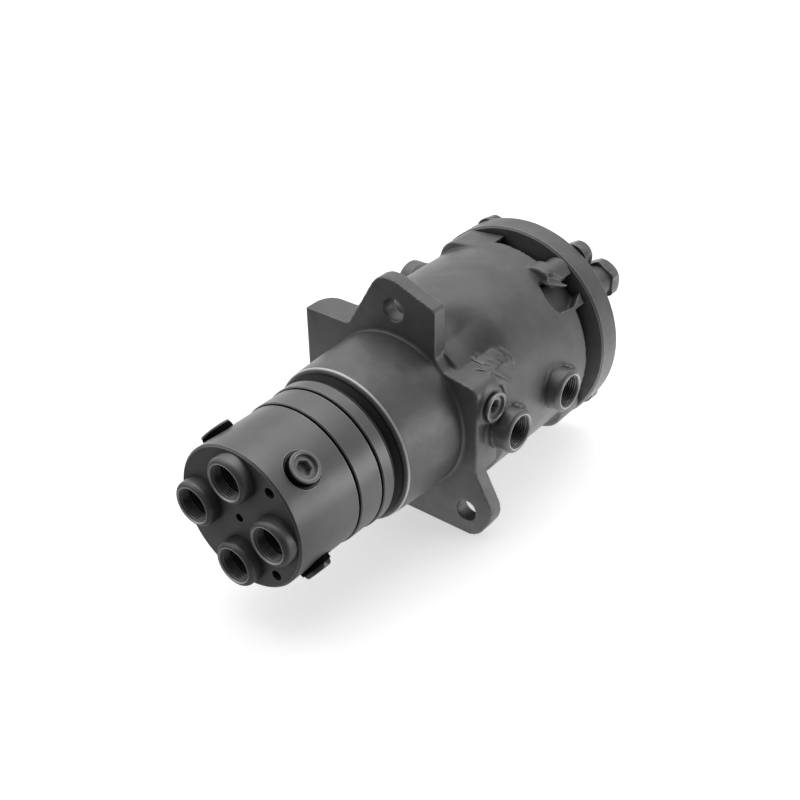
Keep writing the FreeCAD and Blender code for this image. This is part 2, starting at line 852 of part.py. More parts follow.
def port_drillings(piece):
    """Each side port opens into its gallery; the plug closes a cross drilling."""
    reach = port_seat - length("journal_radius") + 2
    for station in right_stations:
        piece.side_hole(station, zero, "port_drill", port_seat, length("port_depth") * 0.6)
        piece.side_hole(station, zero, "channel_radius", port_seat, reach)
    for station, height in zip(left_stations, (zero, length("left_port_height"))):
        profile = piece.circle(piece.sketch("YZ", -port_seat), station, height, "port_drill")
        piece.pocket(profile, length("port_depth") * 0.6, True)
        profile = piece.circle(piece.sketch("YZ", -port_seat), station, height, "channel_radius")
        piece.pocket(profile, reach + 8, True)
    hole = length("plug_shank_radius") + "seat_gap"
    piece.side_hole("gallery_plug_y", "gallery_plug_z", hole, "gallery_pad_reach", length("plug_shank") + 2)


def make_bushes():
    inner = length("journal_radius") + "running_gap"
    mouth = neck_front + "washer_seat_depth"
    front = Piece("front_bush")
    front.turned([(inner, mouth), (bush_radius, mouth),
                  (bush_radius, mouth + "front_bush_length"), (inner, mouth + "front_bush_length")])
    rear = Piece("rear_bush")
    start = cover_front - "rear_bush_length"
    rear.turned([(inner, start), (bush_radius, start), (bush_radius, cover_front), (inner, cover_front)])
    washer = Piece("thrust_washer")
    seat = length("washer_seat_radius") - "running_gap"
    face = neck_front + length("axial_play") * 2
    washer.turned([(inner, face), (seat, face), (seat, mouth), (inner, mouth)])


def ring_set(label, inner, outer, width):
    """One ring for each seal groove, as separate solids of one node."""
    rings = []
    for number, centre in enumerate(seal_centres, start=1):
        ring = doc.addObject("Part::Cut", f"{label}_{number}")
        parts = []
        for kind, radius, extra in (("outer", outer, 0), ("inner", inner, 1)):
            rod = doc.addObject("Part::Cylinder", f"{label}_{kind}_{number}")
            bind(rod, "Radius", radius)
            bind(rod, "Height", length(width) + 2 * extra)
            bind(rod, "Placement.Base.y", centre - length(width) / 2 - extra)
            rod.Placement.Rotation = FreeCAD.Rotation(V(1, 0, 0), -90)
            parts.append(rod)
        ring.Base, ring.Tool = parts
        rings.append(ring)
    group = doc.addObject("Part::Compound", label)
    group.Label = label
    group.Links = rings
    return group


def make_seals():
    inner = length("journal_radius") + "running_gap"
    middle = inner + "seal_wall"
    outer = middle + "energiser_wall"
    ring_set("channel_seals", inner, middle - "running_gap", "seal_width")
    ring_set("seal_energisers", middle, outer - "running_gap", "seal_width")


def make_cover():
    piece = Piece("end_cover")
    chamfer = length("cover_chamfer")
    outer = length("cover_radius")
    recess = cover_front + "cover_recess"
    seal_out = length("cover_seal_radius")
    section = length("cover_seal_section")
    piece.turned([
        (zero, recess), ("cover_recess_radius", recess), ("cover_recess_radius", cover_front),
        (seal_out - section, cover_front), (seal_out - section, cover_front + section),
        (seal_out, cover_front + section), (seal_out, cover_front),
        (outer - chamfer, cover_front), (outer, cover_front + chamfer),
        (outer, cover_back - chamfer), (outer - chamfer, cover_back), (zero, cover_back),
    ])
    boss_start = cover_front + length("cover_thickness") / 2
    boss_end = cover_back + "drain_boss"
    drain = at_angle("drain_circle", "drain_angle")
    piece.round_rod(*drain, "drain_boss_radius", boss_start, boss_end)
    hole = length("plug_shank_radius") + "seat_gap"
    piece.round_hole(*drain, hole, boss_end - "plug_shank" - 2, boss_end)
    channel_y = recess - length("drain_channel_radius") - 1
    piece.round_hole(*drain, "drain_channel_radius", channel_y, boss_end - "plug_shank")
    cross = piece.circle(radial_sketch(piece, "drain_angle", "drain_circle"), channel_y, zero,
                         length("drain_channel_radius") - 0.5)
    piece.pocket(cross, length("drain_circle") - "cover_recess_radius" + 2)
    for spin in cover_bolt_angles:
        across, up = at_angle("bolt_circle", spin)
        piece.round_hole(across, up, length("bolt_radius") + "bolt_clearance", cover_front, cover_back)
    seal = Piece("cover_seal")
    seal.turned([(seal_out - section, cover_front), (seal_out, cover_front),
                 (seal_out, cover_front + section), (seal_out - section, cover_front + section)])
    return piece


def make_cover_bolts():
    """Hexagon bolts and spring washers, one at each lug."""
    bolt = Piece("cover_bolt")
    seat = cover_back + "lock_washer"
    bolt.pad(hexagon(bolt, bolt.across_axis(seat), zero, zero, "bolt_across_flats"), "bolt_head", True)
    bolt.round_rod(zero, zero, "bolt_radius", cover_front - "bolt_grip", seat)
    washer = Piece("cover_lock_washer")
    ring = washer.across_axis(cover_back)
    washer.circle(ring, zero, zero, "lock_washer_radius")
    washer.circle(ring, zero, zero, length("bolt_radius") + "bolt_clearance")
    washer.pad(ring, "lock_washer", True)
    places = round_circle("bolt_circle", cover_bolt_angles)
    copies("cover_bolts", bolt.body, places)
    copies("cover_lock_washers", washer.body, places)


def make_plugs():
    """The plug on the flange's shoulder and the one in the drain boss."""
    plug = make_plug("gallery_plug", zero)
    put(plug.body, "gallery_pad_reach", "gallery_plug_y", "gallery_plug_z")
    drain = Piece("drain_plug")
    seat = cover_back + "drain_boss"
    centre = at_angle("drain_circle", "drain_angle")
    drain.pad(hexagon(drain, drain.across_axis(seat), *centre, "drain_hex"), "drain_head", True)
    drain.round_rod(*centre, "plug_shank_radius", seat - "plug_shank", seat + 0.5)


def make_thrust_plate():
    """The plate on the spindle's tail with its bolts and dowels."""
    plate = Piece("thrust_plate")
    face = spindle_tail + "plate_thickness"
    plate.round_rod(zero, zero, "plate_radius", spindle_tail, face)
    holes = plate.across_axis(spindle_tail)
    for quarter in range(4):
        across, up = at_angle("plate_bolt_circle", 45 + 90 * quarter)
        plate.circle(holes, across, up, length("plate_bolt_radius") + "seat_gap")
    for side in (1, -1):
        plate.circle(holes, length("dowel_circle") * side, zero, length("dowel_radius") + "seat_gap")
    plate.pocket(holes, "plate_thickness")
    bolt = Piece("thrust_plate_bolt")
    bolt.pad(hexagon(bolt, bolt.across_axis(face), zero, zero, "plate_bolt_hex"), "plate_bolt_head", True)
    bolt.round_rod(zero, zero, "plate_bolt_radius", spindle_tail - "plate_bolt_length", face)
    dowel = Piece("thrust_plate_dowel")
    half = length("dowel_length") / 2
    dowel.round_rod(zero, zero, "dowel_radius", spindle_tail - half, spindle_tail + half)
    copies("thrust_plate_bolts", bolt.body, round_circle("plate_bolt_circle", (45, 135, 225, 315)))
    copies("thrust_plate_dowels", dowel.body, round_circle("dowel_circle", (0, 180)))


make_housing()
make_cover()
make_cover_bolts()
make_bushes()
make_seals()
make_side_ports()
make_plugs()
make_spindle()
make_head_ports()
make_head_plugs()
make_rings()
make_thrust_plate()
doc.recompute()

NODES = [
    "housing", "end_cover", "cover_bolts", "cover_lock_washers", "cover_seal", "front_bush",
    "rear_bush", "thrust_washer", "channel_seals", "seal_energisers", "right_ports", "left_ports",
    "gallery_plug", "drain_plug", "spindle", "head_ports", "head_plugs", "head_plug_washers",
    "spacer_ring", "retainer_ring", "dust_seal", "thrust_plate", "thrust_plate_bolts",
    "thrust_plate_dowels",
]

for item in doc.Objects:
    if "Invalid" in item.State or "Error" in item.State:
        raise RuntimeError(f"{item.Name} failed: {item.State}")
os.makedirs("parts", exist_ok=True)
for label in NODES:
    shape = doc.getObjectsByLabel(label)[0].Shape
    if shape.isNull() or not shape.isValid():
        raise RuntimeError(f"{label} has no valid shape")
    shape.exportStep(f"parts/{label}.step")
    box = shape.BoundBox
    print(f"{label}: {len(shape.Solids)} solids, {shape.Volume / 1000:.1f} cm3, "
          f"X {box.XMin:.1f} {box.XMax:.1f} Y {box.YMin:.1f} {box.YMax:.1f} Z {box.ZMin:.1f} {box.ZMax:.1f}")
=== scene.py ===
# %% [markdown]
# # A hydraulic rotary union, dressed in Blender
#
# The real object is a steel spindle with four hose ports on its face, which turns inside a cast
# housing with side ports. Every metal part has the same dark phosphated finish, so the eye reads
# the shapes by their highlights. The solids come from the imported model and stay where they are.
# This script gives them finishes, cuts the fine detail that a turned or cast part shows up close,
# and sets the light and the camera. Lengths are in metres. The turning axis is Y, Z is up, and the
# ported face looks along -Y.

import json
import math

import bmesh
import bpy
from mathutils import Matrix, Vector


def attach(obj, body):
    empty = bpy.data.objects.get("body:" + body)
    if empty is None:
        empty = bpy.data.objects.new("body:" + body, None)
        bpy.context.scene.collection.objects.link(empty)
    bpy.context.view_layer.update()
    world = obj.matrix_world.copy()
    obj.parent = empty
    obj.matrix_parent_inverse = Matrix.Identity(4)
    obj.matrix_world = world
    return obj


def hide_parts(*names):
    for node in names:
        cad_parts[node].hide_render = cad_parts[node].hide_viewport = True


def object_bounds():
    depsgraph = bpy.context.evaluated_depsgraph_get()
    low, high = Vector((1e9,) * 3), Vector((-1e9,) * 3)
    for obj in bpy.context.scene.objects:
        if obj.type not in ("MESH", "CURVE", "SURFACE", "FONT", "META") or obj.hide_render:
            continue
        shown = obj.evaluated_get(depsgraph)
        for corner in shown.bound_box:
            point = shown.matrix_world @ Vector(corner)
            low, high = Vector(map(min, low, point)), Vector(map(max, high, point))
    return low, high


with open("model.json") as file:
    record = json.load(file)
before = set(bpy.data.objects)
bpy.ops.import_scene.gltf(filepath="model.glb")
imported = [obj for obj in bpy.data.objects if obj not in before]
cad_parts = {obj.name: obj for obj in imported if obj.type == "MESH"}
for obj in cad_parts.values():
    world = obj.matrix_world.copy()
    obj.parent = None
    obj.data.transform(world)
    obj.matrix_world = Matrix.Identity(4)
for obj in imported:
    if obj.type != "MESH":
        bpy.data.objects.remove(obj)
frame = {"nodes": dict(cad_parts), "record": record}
solid_box = [list(corner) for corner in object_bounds()]
nodes = frame["nodes"]
neck_end = min(corner[1] for corner in nodes["housing"].bound_box)
print("nodes:", len(nodes), "box:", solid_box, "neck ends at", neck_end)

# %% [markdown]
# ## Finishes as small node trees
#
# A finish here is a Principled shader whose colour, roughness and height come from procedural
# noise in object coordinates. The nodes' origins are the row's origin, so one metre of noise space
# is one metre of metal and the grain has the same size on every piece. Constant values stay on
# the shader's own sockets. Pictures of the surface could be laid on instead, but noise needs no
# unwrapping and stays sharp at every distance.

# %% A finish with its own mottling and grain
# A Mix node's sockets by number: two plain values, two colours, and the colour that comes out.
VALUE_A, VALUE_B, COLOUR_A, COLOUR_B, COLOUR_OUT = 2, 3, 6, 7, 2


def new_finish(name, metallic, specular=0.5):
    """An empty Principled material and the handles that the finishes below use."""
    finish = bpy.data.materials.new(name)
    finish.use_nodes = True
    tree = finish.node_tree
    shader = tree.nodes["Principled BSDF"]
    shader.inputs["Metallic"].default_value = metallic
    shader.inputs["Specular IOR Level"].default_value = specular
    place = tree.nodes.new("ShaderNodeTexCoord")
    return finish, tree, shader, place.outputs["Object"]


def noise(tree, place, scale, detail=3.0, rough=0.55):
    item = tree.nodes.new("ShaderNodeTexNoise")
    item.inputs["Scale"].default_value = scale
    item.inputs["Detail"].default_value = detail
    item.inputs["Roughness"].default_value = rough
    tree.links.new(place, item.inputs["Vector"])
    return item.outputs["Fac"]


def ramp(tree, value, stops):
    item = tree.nodes.new("ShaderNodeValToRGB")
    while len(item.color_ramp.elements) < len(stops):
        item.color_ramp.elements.new(0.5)
    for element, (position, colour) in zip(item.color_ramp.elements, stops):
        element.position = position
        element.color = (*colour, 1.0)
    tree.links.new(value, item.inputs["Fac"])
    return item.outputs["Color"]


def to_range(tree, value, low, high):
    item = tree.nodes.new("ShaderNodeMapRange")
    item.inputs["To Min"].default_value = low
    item.inputs["To Max"].default_value = high
    tree.links.new(value, item.inputs["Value"])
    return item.outputs["Result"]


def bump(tree, shader, value, depth, strength=1.0, base=None):
    """Height in metres from a value between 0 and 1."""
    item = tree.nodes.new("ShaderNodeBump")
    item.inputs["Strength"].default_value = strength
    item.inputs["Distance"].default_value = depth
    tree.links.new(value, item.inputs["Height"])
    if base is not None:
        tree.links.new(base, item.inputs["Normal"])
    tree.links.new(item.outputs["Normal"], shader.inputs["Normal"])
    return item.outputs["Normal"]


print("helpers for noise, ramps and bumps are ready")

# %% [markdown]
# ## Painted shade and worn, highlit edges
#
# Two things tell the eye that metal is real: its corners and grooves get painted shade, and its edges
# are painted bright, as bare metal worn by handling and as their highlight in one. Both could be
# painted by hand. Here an ambient occlusion node finds the shut-in places, and a bevel node finds
# the edges, since there its softened normal leaves the true one.

# %% Painted shade in the corners, worn and highlit edges
SHUT_IN, IN_THE_OPEN = 0.25, 0.85
EDGE_BEGINS, EDGE_FULL = 0.992, 0.93


def painted_corner_shade(tree, colour, reach, deepest):
    """Painted shade in corners and grooves: the colour goes dark where the metal is shut in."""
    shut = tree.nodes.new("ShaderNodeAmbientOcclusion")
    shut.samples = 12
    shut.inputs["Distance"].default_value = reach
    level = tree.nodes.new("ShaderNodeMapRange")
    level.inputs["From Min"].default_value = SHUT_IN
    level.inputs["From Max"].default_value = IN_THE_OPEN
    level.inputs["To Min"].default_value = deepest
    tree.links.new(shut.outputs["AO"], level.inputs["Value"])
    item = tree.nodes.new("ShaderNodeVectorMath")
    item.operation = "SCALE"
    tree.links.new(colour, item.inputs[0])
    tree.links.new(level.outputs["Result"], item.inputs["Scale"])
    return item.outputs[0]


def worn_highlit_edges(tree, colour, radius, bright, patches):
    """Bare metal along the edges, worn off in patches, and a painted highlight on them, in one colour."""
    soft = tree.nodes.new("ShaderNodeBevel")
    soft.samples = 6
    soft.inputs["Radius"].default_value = radius
    true = tree.nodes.new("ShaderNodeNewGeometry")
    same = tree.nodes.new("ShaderNodeVectorMath")
    same.operation = "DOT_PRODUCT"
    tree.links.new(soft.outputs[0], same.inputs[0])
    tree.links.new(true.outputs["Normal"], same.inputs[1])
    edge = tree.nodes.new("ShaderNodeMapRange")
    edge.inputs["From Min"].default_value = EDGE_BEGINS
    edge.inputs["From Max"].default_value = EDGE_FULL
    tree.links.new(same.outputs["Value"], edge.inputs["Value"])
    share = tree.nodes.new("ShaderNodeMath")
    share.operation = "MULTIPLY"
    tree.links.new(edge.outputs["Result"], share.inputs[0])
    tree.links.new(to_range(tree, patches, 0.15, 1.0), share.inputs[1])
    mix = tree.nodes.new("ShaderNodeMix")
    mix.data_type = "RGBA"
    mix.inputs[COLOUR_B].default_value = (*bright, 1.0)
    tree.links.new(share.outputs[0], mix.inputs[0])
    tree.links.new(colour, mix.inputs[COLOUR_A])
    return mix.outputs[COLOUR_OUT]


print("helpers for dirt and rubbed edges are ready")

# %% [markdown]
# ## The cast housing
#
# The casting is sand-cast iron, blasted and phosphated. It is a little uneven in tone over a few
# centimetres, has a fine sandy grain under a millimetre, and is duller than the turned parts. The
# outer edge of the neck's front end is turned last, and a painted highlight runs all round it: a mask
# from the distance to the axis and the place along it picks that edge out, with no second material
# on the mesh.

# %% Cast finish
# Where the painted highlight on the neck's edge begins and where it is full, behind the neck's end
# and out from the axis.
NECK_EDGE_BACK, NECK_EDGE_FRONT = 0.0032, 0.0024
NECK_EDGE_INNER, NECK_EDGE_OUTER = 0.0606, 0.0613


def neck_edge_highlight(tree, place, colour):
    """A painted highlight all round the outer edge of the neck's front, which is turned last."""
    parts = tree.nodes.new("ShaderNodeSeparateXYZ")
    tree.links.new(place, parts.inputs[0])
    flat = tree.nodes.new("ShaderNodeVectorMath")
    flat.operation = "MULTIPLY"
    flat.inputs[1].default_value = (1.0, 0.0, 1.0)
    tree.links.new(place, flat.inputs[0])
    radius = tree.nodes.new("ShaderNodeVectorMath")
    radius.operation = "LENGTH"
    tree.links.new(flat.outputs[0], radius.inputs[0])
    shares = []
    for value, start, end in ((parts.outputs["Y"], neck_end + NECK_EDGE_BACK, neck_end + NECK_EDGE_FRONT),
                              (radius.outputs["Value"], NECK_EDGE_INNER, NECK_EDGE_OUTER)):
        level = tree.nodes.new("ShaderNodeMapRange")
        level.inputs["From Min"].default_value = start
        level.inputs["From Max"].default_value = end
        tree.links.new(value, level.inputs["Value"])
        shares.append(level.outputs["Result"])
    share = tree.nodes.new("ShaderNodeMath")
    share.operation = "MULTIPLY"
    tree.links.new(shares[0], share.inputs[0])
    tree.links.new(shares[1], share.inputs[1])
    mix = tree.nodes.new("ShaderNodeMix")
    mix.data_type = "RGBA"
    # The colour of the painted highlight on the neck's edge.
    mix.inputs[COLOUR_B].default_value = (0.74, 0.73, 0.72, 1.0)
    tree.links.new(share.outputs[0], mix.inputs[0])
    tree.links.new(colour, mix.inputs[COLOUR_A])
    return mix.outputs[COLOUR_OUT]


def cast_finish():
    finish, tree, shader, place = new_finish("phosphated casting", metallic=0.45, specular=0.5)
    clouds = noise(tree, place, 28.0, 4.0, 0.6)
    patches = noise(tree, place, 170.0, 4.0, 0.7)
    colour = ramp(tree, clouds, [(0.30, (0.125, 0.124, 0.126)), (0.72, (0.185, 0.183, 0.183))])
    # Edges painted bright: worn bare metal and a painted highlight in one.
    colour = worn_highlit_edges(tree, colour, 0.0018, (0.62, 0.61, 0.60), patches)
    # A painted highlight runs all round the outer edge of the neck's front.
    colour = neck_edge_highlight(tree, place, colour)
    # Painted shade makes the colour dark in corners and grooves.
    tree.links.new(painted_corner_shade(tree, colour, 0.009, 0.45), shader.inputs["Base Color"])
    tree.links.new(to_range(tree, noise(tree, place, 90.0), 0.36, 0.54), shader.inputs["Roughness"])
    sand = noise(tree, place, 900.0, 4.0, 0.6)
    skin = noise(tree, place, 120.0, 2.0, 0.5)
    low = bump(tree, shader, skin, 0.0006, 0.5)
    bump(tree, shader, sand, 0.00012, 0.6, low)
    return finish


# The bare edge in this print is where the painted highlight on the neck begins.
print("cast finish is ready; the neck's bare edge begins at", neck_end + NECK_EDGE_BACK)

# %% [markdown]
# ## Turned steel and small hardware
#
# A lathe leaves fine rings round the axis, too fine to model. A noise that only knows the distance
# to the axis plus the place along it changes from ring to ring and is even round each of them, so
# it drives the roughness and a very low bump. Bolts, plugs and seals get a plainer finish.

# %% Turned finish with tool lines round the axis
def turned_finish(name, low, high, metallic, roughness, lines):
    """Rings round Y: a wave along the axis and along the radius, faint as fine turning is."""
    finish, tree, shader, place = new_finish(name, metallic)
    clouds = noise(tree, place, 22.0, 3.0, 0.6)
    colour = ramp(tree, clouds, [(0.30, low), (0.72, high)])
    # Edges painted bright: worn bare metal and a painted highlight in one.
    colour = worn_highlit_edges(tree, colour, 0.0009, (0.60, 0.59, 0.58), noise(tree, place, 260.0, 3.0, 0.6))
    # Painted shade makes the colour dark in corners and grooves.
    tree.links.new(painted_corner_shade(tree, colour, 0.008, 0.18), shader.inputs["Base Color"])
    parts = tree.nodes.new("ShaderNodeSeparateXYZ")
    tree.links.new(place, parts.inputs[0])
    flat = tree.nodes.new("ShaderNodeCombineXYZ")
    tree.links.new(parts.outputs["X"], flat.inputs["X"])
    tree.links.new(parts.outputs["Z"], flat.inputs["Z"])
    radius = tree.nodes.new("ShaderNodeVectorMath")
    radius.operation = "LENGTH"
    tree.links.new(flat.outputs[0], radius.inputs[0])
    total = tree.nodes.new("ShaderNodeMath")
    total.operation = "ADD"
    tree.links.new(radius.outputs["Value"], total.inputs[0])
    tree.links.new(parts.outputs["Y"], total.inputs[1])
    along = tree.nodes.new("ShaderNodeCombineXYZ")
    tree.links.new(total.outputs[0], along.inputs["X"])
    rings = noise(tree, along.outputs[0], lines, 2.0, 0.5)
    tree.links.new(to_range(tree, rings, roughness - 0.06, roughness + 0.08), shader.inputs["Roughness"])
    grain = noise(tree, place, 700.0, 3.0, 0.6)
    low_relief = bump(tree, shader, rings, 0.00003, 0.5)
    bump(tree, shader, grain, 0.00004, 0.4, low_relief)
    return finish


def plain_finish(name, low, high, metallic, rough_low, rough_high, grain_scale, grain_depth, specular=0.5):
    """Mottled metal, rubber or plastic with a fine grain; only metal gets worn, highlit edges and painted
    shade in its corners.
    """
    finish, tree, shader, place = new_finish(name, metallic, specular)
    clouds = noise(tree, place, 60.0, 4.0, 0.6)
    colour = ramp(tree, clouds, [(0.30, low), (0.72, high)])
    if metallic > 0:
        # Edges painted bright: worn bare metal and a painted highlight in one.
        colour = worn_highlit_edges(tree, colour, 0.0006, (0.62, 0.61, 0.60), noise(tree, place, 300.0, 3.0, 0.6))
        # Painted shade makes the colour dark in corners and grooves.
        colour = painted_corner_shade(tree, colour, 0.0035, 0.30)
    tree.links.new(colour, shader.inputs["Base Color"])
    sheen = noise(tree, place, 160.0)
    tree.links.new(to_range(tree, sheen, rough_low, rough_high), shader.inputs["Roughness"])
    bump(tree, shader, noise(tree, place, grain_scale, 3.0, 0.6), grain_depth, 0.5)
    return finish


finishes = {
    "cast_body": cast_finish(),
    "turned_steel": turned_finish("turned phosphated steel", (0.140, 0.139, 0.141), (0.190, 0.188, 0.188),
                                  0.60, 0.40, 1800.0),
    "dark_hardware": plain_finish("oiled dark hardware", (0.130, 0.129, 0.131), (0.185, 0.183, 0.183),
                                  0.6, 0.28, 0.42, 900.0, 0.00004),
    # The plugs get a copy of the hardware finish painted lighter, for the light on their faces.
    "plug_painted_lighter": plain_finish("plug steel painted lighter", (0.230, 0.228, 0.226), (0.340, 0.336, 0.332),
                              0.6, 0.26, 0.40, 900.0, 0.00004),
    "seal_rubber": plain_finish("black seal rubber", (0.012, 0.012, 0.013), (0.022, 0.022, 0.024),
                                0.0, 0.50, 0.68, 1400.0, 0.00005),
    # The washers are real rubber, painted near black and dull as the shade under the plug flanges.
    "shade_washer_rubber": plain_finish("black washer rubber as painted shade", (0.004, 0.004, 0.004), (0.008, 0.008, 0.009),
                                  0.0, 0.55, 0.75, 1400.0, 0.00005, specular=0.06),
    "seal_polymer": plain_finish("green seal polymer", (0.045, 0.165, 0.130), (0.065, 0.215, 0.170),
                                 0.0, 0.40, 0.55, 1200.0, 0.00003),
    # Bare machined rims, painted light enough to carry their highlight as well.
    "bare_highlit_rim": plain_finish("bare machined steel with painted highlight", (0.50, 0.49, 0.48), (0.72, 0.71, 0.69),
                             0.3, 0.30, 0.45, 900.0, 0.00003),
    "bronze": turned_finish("turned bronze", (0.42, 0.26, 0.11), (0.55, 0.36, 0.16), 0.9, 0.30, 1800.0),
}
for row in frame["record"]["subparts"]:
    item = nodes[row["node"]]
    item.data.materials.clear()
    item.data.materials.append(finishes[row["material_slot"]])
print("finishes:", len(finishes))

# %% [markdown]
# ## Round pieces with rims, cups, flats and threads
#
# Collars, plugs and bolt heads are turned from a short list of rows. A row is a height above the
# seat and a rule for the radius at each angle: plain, six-sided, or swinging in and out once for
# every pitch, which makes a true helical thread. Stock cylinders and a screw modifier could do
# the same, but rows keep rims, cups and threads in one closed mesh. Every copy of a piece goes into
# one mesh that takes the place of its plain node.

# %% Rules for a row's radius
TURNS = 96


def plain(radius):
    return lambda angle: radius


def six_sided(flats, limit=1.0):
    """A hexagon of a width across flats with a corner at angle 0, cut back to a round limit."""
    return lambda angle: min(limit, flats / 2 / math.cos(angle % (math.pi / 3) - math.pi / 6))


def threaded(root, depth, pitch, height):
    """One row of a helical thread that stands in from its root radius."""
    return lambda angle: root - depth * (0.5 + 0.5 * math.cos(2 * math.pi * height / pitch - angle))


print("three rules for a radius,", TURNS, "steps a turn")

# %% Turning and placing
WELD = 1e-6
SHARP_EDGE = math.radians(38)


def spun(name, rows, places, body, node, finish, bare=()):
    """One mesh from the rows, copied to every place, which stands in for a plain node.

    Rows whose numbers are in bare get the bright rim finish: a seat that is machined last, with a painted
    highlight on it as well.
    """
    points, faces, shades = [], [], []
    for origin, outward in places:
        outward = Vector(outward).normalized()
        across = Vector((0, 0, 1)) if abs(outward.z) < 0.9 else Vector((0, 1, 0))
        across = (across - outward * across.dot(outward)).normalized()
        up = outward.cross(across)
        first = len(points)
        for height, rule in rows:
            for step in range(TURNS):
                angle = 2 * math.pi * step / TURNS
                reach = rule(angle)
                points.append(Vector(origin) + outward * height
                              + across * (reach * math.cos(angle)) + up * (reach * math.sin(angle)))
        for row in range(len(rows)):
            after = (row + 1) % len(rows)
            for step in range(TURNS):
                side = (step + 1) % TURNS
                faces.append((first + row * TURNS + step, first + row * TURNS + side,
                              first + after * TURNS + side, first + after * TURNS + step))
                shades.append(1 if row in bare else 0)
    mesh = bpy.data.meshes.new(name)
    mesh.from_pydata([tuple(point) for point in points], [], faces)
    mesh.polygons.foreach_set("material_index", shades)
    work = bmesh.new()
    work.from_mesh(mesh)
    bmesh.ops.remove_doubles(work, verts=work.verts, dist=WELD)
    bmesh.ops.recalc_face_normals(work, faces=work.faces)
    work.to_mesh(mesh)
    work.free()
    mesh.polygons.foreach_set("use_smooth", [True] * len(mesh.polygons))
    item = bpy.data.objects.new(name, mesh)
    bpy.context.scene.collection.objects.link(item)
    mesh.set_sharp_from_angle(angle=SHARP_EDGE)
    mesh.materials.append(finish)
    if bare:
        # The rim finish holds bare metal and a painted highlight in one.
        mesh.materials.append(finishes["bare_highlit_rim"])
    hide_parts(node)
    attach(item, body)
    print(name, len(mesh.vertices), "points")


def arc(radius, height, turn_radius, start, end, steps=4):
    """Rows along an arc about (radius, height), from one angle to another in degrees."""
    rows = []
    for step in range(steps + 1):
        angle = math.radians(start + (end - start) * step / steps)
        rows.append((height + turn_radius * math.sin(angle), plain(radius + turn_radius * math.cos(angle))))
    return rows


print("turning is ready")

# %% [markdown]
# ## Port collars
#
# Each collar has a flat sealing rim, a rounded shoulder down to its full diameter and a 3/4 inch
# parallel thread inside. The rim and the lead-in of the thread are machined last and stay bright;
# their colour also carries a painted highlight.
# The record's ports say where each collar ends, which way it looks and how tall it stands.

# %% Collars on the face and on the sides
PORT_OUTER, PORT_RIM, PORT_BORE, SHOULDER = 0.0175, 0.0143, 0.0132, 0.0042
PITCH, THREAD_DEPTH, ROWS_A_TURN = 0.001814, 0.00105, 6
RIM_EDGE, LEAD_IN, LAST_THREAD = 0.0002, 0.0010, 0.0014
# The rows of the rim and the lead-in follow the outer wall and the shoulder.
RIM_ROWS = (9, 10, 11, 12)


def collar_rows(height):
    rows = [(0.0, plain(PORT_OUTER)), (height - SHOULDER, plain(PORT_OUTER))]
    rows += arc(PORT_OUTER - SHOULDER, height - SHOULDER, SHOULDER, 0, 64, 7)[1:]
    rows += [(height - RIM_EDGE, plain(PORT_RIM)), (height, plain(PORT_RIM - RIM_EDGE))]
    rows += [(height, plain(PORT_BORE + 0.0007)), (height - 0.0009, plain(PORT_BORE - 0.0001))]
    levels = int((height - LAST_THREAD) / (PITCH / ROWS_A_TURN))
    for level in range(levels):
        place = height - LEAD_IN - level * PITCH / ROWS_A_TURN
        depth = THREAD_DEPTH * min(1.0, level / ROWS_A_TURN)
        rows.append((place, threaded(PORT_BORE, depth, PITCH, place)))
    return rows + [(0.0, plain(PORT_BORE))]


def collars(name, word, body, node):
    """The collars of the ports whose names in the record start with a word."""
    ports = [row for row in frame["record"]["mounts"] if row["name"].startswith(word)]
    height = ports[0]["dims"]["length_mm"] / 1000
    seats = [(Vector(row["pos_m"]) - Vector(row["axis"]) * height, row["axis"]) for row in ports]
    spun(name, collar_rows(height), seats, body, node, finishes["turned_steel"], RIM_ROWS)
    return [seat for seat, outward in seats]


collars("face_port_collars", "face_port", "spindle", "head_ports")
right_seats = collars("right_port_collars", "right_port", "housing", "right_ports")
collars("left_port_collars", "left_port", "housing", "left_ports")

# %% [markdown]
# ## Plugs and bolt heads
#
# The socket plugs have a broad flange with a rounded edge, a shallow cup and a hexagon socket. Their
# steel is painted lighter than the other hardware, for the light on their faces. The flange stands on
# a black washer, painted near black and dull so that it gives the painted shade of a dark ring under
# the flange. Bolt heads and the drain plug are hexagons whose corners are cut back by a turned cone.

# %% Socket plugs and the washers they stand on
PLUG_EDGE, PLUG_SHANK, PLUG_NECK, PLUG_LIFT = 0.0116, 0.0080, 0.0096, 0.0030
SOCKET, SOCKET_DEPTH, SHANK_LENGTH = 0.0100, 0.0080, 0.0110
# First and last rows keep this far off a piece's axis, so that its rows close as one ring of faces.
TIP = 0.0001


def plug_rows(flange, cup, socket, shank):
    """A thin flange on a short neck, a cup in it, and the socket in the cup's floor."""
    rows = [(-shank, plain(TIP)), (-shank, plain(PLUG_SHANK)), (0.0004, plain(PLUG_SHANK))]
    rows += [(0.0004, plain(PLUG_NECK)), (PLUG_LIFT, plain(PLUG_NECK))]
    rows += [(PLUG_LIFT, plain(PLUG_EDGE - 0.0003)), (PLUG_LIFT + 0.0003, plain(PLUG_EDGE))]
    rows += arc(PLUG_EDGE - 0.0005, flange - 0.0005, 0.0005, 0, 90, 4)
    rows += [(flange, plain(0.0093)), (flange - 0.0002, plain(0.0090)), (flange - cup, plain(0.0087))]
    rows += [(flange - cup, six_sided(SOCKET + 0.0006)), (flange - cup - 0.0004, six_sided(SOCKET))]
    return rows + [(flange - socket, six_sided(SOCKET)), (flange - socket - 0.0008, plain(TIP))]


